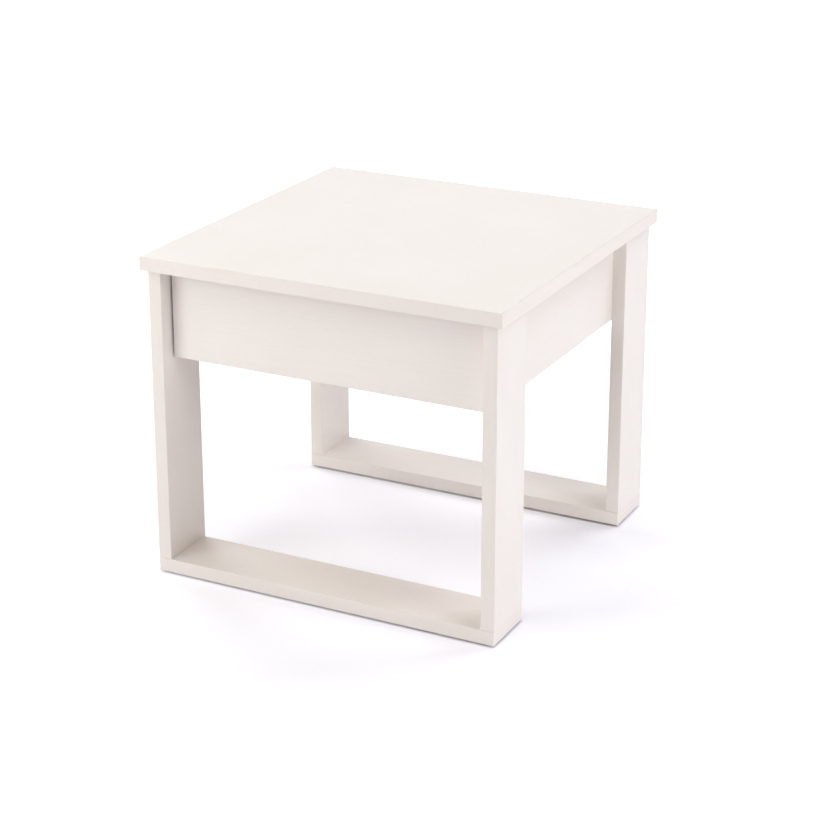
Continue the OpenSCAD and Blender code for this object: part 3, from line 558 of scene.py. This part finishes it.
# A leg's bands end a hair short of the rail and the top, which draws the fine dark seam there
leg_h, seam = TOP_Z - LEG_Z, 0.5
panel_len, panel_mid_y = BACK_Y - PANEL_Y, (BACK_Y + PANEL_Y) / 2
edge_bands("top_edge_trim", "table", around(TOP_W / 2, TOP_W / 2, TOP_Z + BOARD_T / 2, BOARD_T))
edge_bands("leg_edge_trim", "table", [
    (leg_h - 2 * seam, BOARD_T, False,
     facing((x, y + s * (LEG_D / 2 - BAND_T), LEG_Z + leg_h / 2), (0, s, 0), (0, 0, 1)))
    for x, y in LEGS for s in SIDES])
edge_bands("rail_edge_trim", "table", [strip for s in SIDES for strip in moved(
    around(BASE_W / 2, LEG_D / 2, GLIDE_H + BOARD_T / 2, BOARD_T), (0, s * LEG_Y, 0))])
edge_bands("apron_edge_trim", "table", [strip for s in SIDES for strip in (
    (panel_len - BAND_T, PANEL_T, False,
     facing((s * PANEL_X, panel_mid_y + BAND_T / 2, APRON_Z + BAND_T), (0, 0, -1), (0, 1, 0))),
    (APRON_H, PANEL_T, False,
     facing((s * PANEL_X, PANEL_Y + BAND_T, APRON_Z + APRON_H / 2), (0, -1, 0), (0, 0, 1))),
)] + [(2 * LEG_FACE_X, PANEL_T, False,
       facing((0, BACK_Y + PANEL_T / 2, APRON_Z + BAND_T), (0, 0, -1), (1, 0, 0)))])
front_mid = (0, (FRONT_Y + FRONT_REAR_Y) / 2, FRONT_Z + FRONT_H / 2)
edge_bands("drawer_front_edge_trim", "drawer", moved(
    [(FRONT_W - 2 * BAND_T, PANEL_T, False, facing((0, 0, s * (FRONT_H / 2 - BAND_T)), (0, 0, s), (1, 0, 0)))
     for s in SIDES]
    + [(FRONT_H, PANEL_T, True, facing((s * (FRONT_W / 2 - BAND_T), 0, 0), (s, 0, 0), (0, 0, 1)))
       for s in SIDES], front_mid))

# Screws: each place is the middle of a head's face, and the axis points down the shank
rail_screw_places = [place((x, y + k * LEG_PITCH / 2, GLIDE_H), UP) for x, y in LEGS for k in SIDES]
leg_screw_ys = ((PANEL_Y + LEG_D - LEG_Y - LEG_D / 2) / 2, (BACK_Y + LEG_Y - LEG_D / 2) / 2)
leg_screw_places = [place((s * CASE_X, y, APRON_Z + u * APRON_H), outward(s))
                    for s in SIDES for y in leg_screw_ys for u in LEG_SCREWS]
cabinet_screw_places = [
    place((s * (CASE_X - SHEET_T), CABINET_RUNNER_Y + u * RUNNER_LEN, CHANNEL_MID_Z), outward(s))
    for s in SIDES for u in CABINET_SCREWS]
drawer_screw_places = [
    place((s * (DRAWER_X + SHEET_T), DRAWER_RUNNER_Y + u * DRAWER_RUNNER_LEN, DRAWER_SCREW_Z), outward(-s))
    for s in SIDES for u in DRAWER_SCREWS]
back_mid_y, inside_w = DRAWER_END_Y - DRAWER_T / 2, 2 * (DRAWER_X - DRAWER_T)
back_screw_places = [place((s * DRAWER_X, back_mid_y, DRAWER_Z + u * DRAWER_H), outward(-s))
                     for s in SIDES for u in BACK_SCREWS]
bottom_screw_places = [place((k * inside_w / 3, back_mid_y, GROOVE_Z), UP) for k in (-1, 0, 1)]


def cross_drive(size, width):
    """Socket of a cross screw, as a function of the angle and radius."""
    return lambda a, r: cross_slot(a, r, size, width)


def hex_drive(apothem):
    """Socket for a hexagon key, as a function of the angle and radius."""
    return lambda a, r: hexagon(a, r, apothem)


RAIL_THREAD, WOOD_THREAD, RUNNER_THREAD = (3.5, 2.5, 3), (2, 1.35, 1.8), (2, 1.35, 1.6)
RAIL_HEAD, WOOD_HEAD, RUNNER_HEAD = (5, 4, 3, 2.3), (4, 2.4, 1.6, 2), (3.4, 1.6, 1.1, 1.7)
rail_drive, wood_drive, runner_drive = hex_drive(apothem=1.99), cross_drive(4, 0.9), cross_drive(3.4, 0.8)
for name, body, node, places, shape in (
    ("rail_hex_screws", "table", "rail_screws", rail_screw_places,
     screw(50, 22, RAIL_THREAD, RAIL_HEAD, rail_drive)),
    ("leg_wood_screws", "table", "leg_screws", leg_screw_places,
     screw(30, 6, WOOD_THREAD, WOOD_HEAD, wood_drive)),
    ("cabinet_runner_wood_screws", "table", "cabinet_runner_screws", cabinet_screw_places,
     screw(13, 2.8, RUNNER_THREAD, RUNNER_HEAD, runner_drive)),
    ("drawer_runner_wood_screws", "drawer", "drawer_runner_screws", drawer_screw_places,
     screw(10.2, 2.8, RUNNER_THREAD, RUNNER_HEAD, runner_drive)),
    ("drawer_back_wood_screws", "drawer", "drawer_back_screws", back_screw_places,
     screw(34, 6, WOOD_THREAD, WOOD_HEAD, wood_drive)),
    ("drawer_bottom_wood_screws", "drawer", "drawer_bottom_screws", bottom_screw_places,
     screw(17, 4, WOOD_THREAD, WOOD_HEAD, wood_drive)),
):
    piece(name, body, ZINC, (node,), [(shape, where) for where in places])

# Dowels, cam bolts and cam locks: on the joint between two boards, pointing into the second
cam_step, side_mid_x, top_back_y = panel_len / 2 - CAM_END, DRAWER_X - DRAWER_T / 2, BACK_Y + PANEL_T / 2
carcass_cams = (
    [place((s * PANEL_X, panel_mid_y + k * cam_step, TOP_Z), UP, -90 * s) for s in SIDES for k in (-1, 0, 1)]
    + [place((s * PANEL_X, BACK_Y, APRON_Z + APRON_H / 2), BACK, -90 * s) for s in SIDES]
    + [place((s * (CASE_X - BACK_CAM_END), top_back_y, TOP_Z), UP) for s in SIDES])
drawer_cams = [place((s * side_mid_x, FRONT_REAR_Y, DRAWER_Z + DRAWER_CAM * DRAWER_H), FRONT, 90 * s)
               for s in SIDES]
carcass_dowels = (
    [place((x, y + k * LEG_PITCH / 2, TOP_Z), UP) for x, y in LEGS for k in SIDES]
    + [place((x, y, LEG_Z), DOWN) for x, y in LEGS]
    + [place((s * PANEL_X, panel_mid_y + k * cam_step / 2, TOP_Z), UP) for s in SIDES for k in SIDES]
    + [place((s * PANEL_X, BACK_Y, APRON_Z + z), BACK)
       for s in SIDES for z in (DOWEL_END, APRON_H - DOWEL_END)]
    + [place((k * (CASE_X - BACK_DOWEL_END), top_back_y, TOP_Z), UP) for k in (-1, 0, 1)])
drawer_dowels = [place((s * side_mid_x, FRONT_REAR_Y, DRAWER_Z + u * DRAWER_H), FRONT)
                 for s in SIDES for u in DRAWER_DOWELS]

for body, part, cams, dowels, depth, board in (
    ("table", "carcass", carcass_cams, carcass_dowels, CAM_DEPTH, PANEL_T),
    ("drawer", "drawer", drawer_cams, drawer_dowels, DRAWER_CAM_DEPTH, DRAWER_T),
):
    # From the joint down the bolt to the lock's pocket, then out to the pocket's open face
    pocket = Matrix.Translation(Vector((0, depth - board / 2, -CAM_SETBACK))) @ turn("X", 90)
    piece(part + "_beech_dowels", body, BEECH, (part + "_dowels",),
          [(fluted_dowel(), at) for at in dowels])
    piece(part + "_steel_bolts", body, ZINC, (part + "_cam_bolts",),
          [(cam_bolt(), at) for at in cams])
    piece(part + "_cast_locks", body, CASTING, (part + "_cam_locks",),
          [(cam_lock(depth, board), at @ pocket) for at in cams])

# Rollers, each on its own body, and their rivets on the runners
cabinet_web_x, drawer_web_x = CASE_X - SHEET_T - ROLLER_PLAY, DRAWER_X + SHEET_T + ROLLER_PLAY
for s, side in zip(SIDES, ("left", "right")):
    for runner, radius, x, y, z, out in (
        ("cabinet", CABINET_ROLLER_R, cabinet_web_x, CABINET_AXLE_Y, CABINET_AXLE_Z, -s),
        ("drawer", DRAWER_ROLLER_R, drawer_web_x, DRAWER_AXLE_Y, CHANNEL_MID_Z, s),
    ):
        node = f"{runner}_roller_{side}"
        piece(f"{runner}_wheel_{side}", node, NYLON, (node,),
              [(roller(radius, ROLLER_W), place((s * x, y, z), outward(out)))])
for runner, body, x, y, z, out in (
    ("cabinet", "table", CASE_X, CABINET_AXLE_Y, CABINET_AXLE_Z, -1),
    ("drawer", "drawer", DRAWER_X, DRAWER_AXLE_Y, CHANNEL_MID_Z, 1),
):
    shaft = SHEET_T + ROLLER_W + 2 * ROLLER_PLAY
    piece(f"{runner}_domed_rivets", body, ZINC, (f"{runner}_roller_rivets",),
          [(rivet(shaft), place((s * x, y, z), outward(out * s))) for s in SIDES])
piece("drawer_dome_bumpers", "drawer", NYLON, ("drawer_bumpers",),
      [(bumper(), place((s * PANEL_X, FRONT_REAR_Y, APRON_Z + u * APRON_H), BACK))
       for s in SIDES for u in BUMPERS])

# Sweep: white paper under and around the table that glows evenly, as a light table would, and so lights
# the table from below. Under the foot rails the glow is cut, a painted contact shade. To the camera alone
# a painted light brightens it away from the table's shadow, until it is as white as the backdrop.
# Lengths here are in metres, and each span is where a change starts and ends.
PAPER_GLOW, RAIL_EDGE, REACH = 0.207, 0.003, 12.0
SHADE_MIDDLE, NEAR, NEAR_GLOW, FAR = (0.3, -0.05, 0), (0.05, 0.42), 0.09, (0.5, 2.2)
LEG_SHADE_MIDDLE, LEG_SHADE, LEG_SHADE_GLOW = (0.27, 0.14, 0), (0.03, 0.125), -0.11
paper, paper_tree, paper_shader = finish("sweep_paper", {
    "Base Color": colour("#E3E2EA"), "Roughness": 0.7, "Emission Color": (1, 1, 1, 1)})
on_paper = add(paper_tree, "ShaderNodeTexCoord")
off_rail = (on_paper, "Object")
for operation, by in (("ABSOLUTE", (0, 0, 0)), ("SUBTRACT", (0, LEG_Y * MM, 0)), ("ABSOLUTE", (0, 0, 0)),
                      ("SUBTRACT", (BASE_W / 2 * MM, LEG_D / 2 * MM, 0))):
    step = add(paper_tree, "ShaderNodeVectorMath", {"operation": operation, 1: by}, {0: off_rail})
    off_rail = (step, "Vector")
parts = add(paper_tree, "ShaderNodeSeparateXYZ", {}, {"Vector": off_rail})
clear = add(paper_tree, "ShaderNodeMath", {"operation": "MAXIMUM"}, {0: (parts, "X"), 1: (parts, "Y")})
# Painted contact shade: the paper's glow is 0 under the foot rails and rises to PAPER_GLOW over RAIL_EDGE
# past their edges
glow_with_painted_rail_shade = add(paper_tree, "ShaderNodeMapRange", {"From Max": RAIL_EDGE, "To Max": PAPER_GLOW},
          {"Value": (clear, "Value")})
# Painted light to the camera: the paper brightens with distance from SHADE_MIDDLE, the middle of the table's
# shadow, by up to NEAR_GLOW over NEAR, then on towards the backdrop's white over FAR
from_shade = add(paper_tree, "ShaderNodeVectorMath", {"operation": "SUBTRACT", 1: SHADE_MIDDLE},
                 {0: (on_paper, "Object")})
distance = add(paper_tree, "ShaderNodeVectorMath", {"operation": "LENGTH"}, {0: (from_shade, "Vector")})
near = add(paper_tree, "ShaderNodeMapRange", {"From Min": NEAR[0], "From Max": NEAR[1], "To Max": NEAR_GLOW},
           {"Value": (distance, "Value")})
far = add(paper_tree, "ShaderNodeMapRange", {"From Min": FAR[0], "From Max": FAR[1]},
          {"Value": (distance, "Value")})
painted_light_to_eye = add(paper_tree, "ShaderNodeMath", {"operation": "ADD"}, {0: (near, "Result"), 1: (far, "Result")})
# Painted shadows of the rear legs: before them the paper's glow to the camera is lowered by up to
# LEG_SHADE_GLOW around LEG_SHADE_MIDDLE, deeper than the lamps alone give
on_axis = add(paper_tree, "ShaderNodeSeparateXYZ", {}, {"Vector": (on_paper, "Object")})
off_middle = add(paper_tree, "ShaderNodeMath", {"operation": "ABSOLUTE"}, {0: (on_axis, "X")})
folded = add(paper_tree, "ShaderNodeCombineXYZ", {}, {"X": (off_middle, "Value"), "Y": (on_axis, "Y")})
from_leg = add(paper_tree, "ShaderNodeVectorMath", {"operation": "DISTANCE", 1: LEG_SHADE_MIDDLE},
               {0: (folded, "Vector")})
leg_shade = add(paper_tree, "ShaderNodeMapRange", {
    "From Min": LEG_SHADE[0], "From Max": LEG_SHADE[1], "To Min": LEG_SHADE_GLOW, "To Max": 0.0,
}, {"Value": (from_leg, "Value")})
ahead = add(paper_tree, "ShaderNodeMath", {"operation": "LESS_THAN", 1: LEG_Y * MM}, {0: (on_axis, "Y")})
toned = add(paper_tree, "ShaderNodeMath", {"operation": "MULTIPLY_ADD"},
            {0: (leg_shade, "Result"), 1: (ahead, "Value"), 2: (painted_light_to_eye, "Value")})
seen = add(paper_tree, "ShaderNodeLightPath")
glow = add(paper_tree, "ShaderNodeMath", {"operation": "MULTIPLY_ADD"},
           {0: (toned, "Value"), 1: (seen, "Is Camera Ray"), 2: (glow_with_painted_rail_shade, "Result")})
paper_tree.links.new(glow.outputs["Value"], paper_shader.inputs["Emission Strength"])
sweep_mesh = bpy.data.meshes.new("sweep")
corners = ((-REACH, -REACH, 0), (REACH, -REACH, 0), (REACH, REACH, 0), (-REACH, REACH, 0))
sweep_mesh.from_pydata(corners, [], [(0, 1, 2, 3)])
sweep_mesh.materials.append(paper)
put("sweep", sweep_mesh)

# Backdrop: white to the eye, and nearly dark to the table, which the soft boxes and the paper light
BACKDROP_ON_TABLE, BACKDROP_ON_EYE = 0.02, 1.1
world = bpy.data.worlds.new("studio")
bpy.context.scene.world = world
world.use_nodes = True
world_tree = world.node_tree
world_tree.nodes.clear()
ray = add(world_tree, "ShaderNodeLightPath")
level = add(world_tree, "ShaderNodeMapRange", {"To Min": BACKDROP_ON_TABLE, "To Max": BACKDROP_ON_EYE},
            {"Value": (ray, "Is Camera Ray")})
sky = add(world_tree, "ShaderNodeBackground", {"Color": (1, 1, 1, 1)}, {"Strength": (level, "Result")})
add(world_tree, "ShaderNodeOutputWorld", links={"Surface": (sky, "Background")})

# Square soft boxes that look at the table's middle from the same distance, but no lower than
# LAMP_MIN_Z: azimuth and elevation in degrees, watts, and the share of blue that is missing from the
# light, with a quarter of that missing from the green. A share below 0 makes the light bluer.
LAMP_SIZE, LAMP_REACH, LAMP_MIN_Z = 1.6, 3.2, 0.85
LIT_POINT = Vector((0, 0, 0.3))
for number, (azimuth, elevation, watts, warmth) in enumerate((
    (-35, 20, 41.5, 0.05), (0, 55, 27.0, 0.03), (80, 18, 38.6, 0.03), (80, 42, 10.5, 0), (142, 48, 45, -0.06),
    (205, 25, 9.9, 0), (240, 30, 39, 0), (-75, 25, 12.8, 0.06),
)):
    lamp = bpy.data.lights.new(f"soft_box_{number}", "AREA")
    lamp.size, lamp.energy = LAMP_SIZE, watts
    lamp.color = (1, 1 - warmth / 4, 1 - warmth)
    box = put(lamp.name, lamp)
    box.location = LIT_POINT + towards(azimuth, elevation) * LAMP_REACH
    box.location.z = max(box.location.z, LAMP_MIN_Z)
    box.rotation_euler = (LIT_POINT - box.location).to_track_quat("-Z", "Y").to_euler()
    box.visible_camera = False

# Camera: fitted to the edges of the table in the photograph. Its frame, focal length and the height
# of its axis are in pixels, its angles in degrees and the rest in metres, with the sensor in mm.
PHOTO, FOCAL, AXIS_V, SENSOR = 829, 2156.0, 330.0, 36
AZIMUTH, ELEVATION, DISTANCE, TARGET = 26.945, 18.920, 3.4024, Vector((0.0117, 0, 0.3601))
camera = bpy.data.cameras.new("camera")
camera.sensor_width = SENSOR
camera.lens = FOCAL / PHOTO * SENSOR
camera.shift_y = (AXIS_V - PHOTO / 2) / PHOTO
camera.clip_start, camera.clip_end = 0.1, 100
eye = put("camera", camera)
backward = towards(AZIMUTH, ELEVATION)
eye.location = TARGET + backward * DISTANCE
eye.rotation_euler = (-backward).to_track_quat("-Z", "Y").to_euler()
bpy.context.scene.camera = eye
bpy.context.scene.view_settings.view_transform = "Standard"
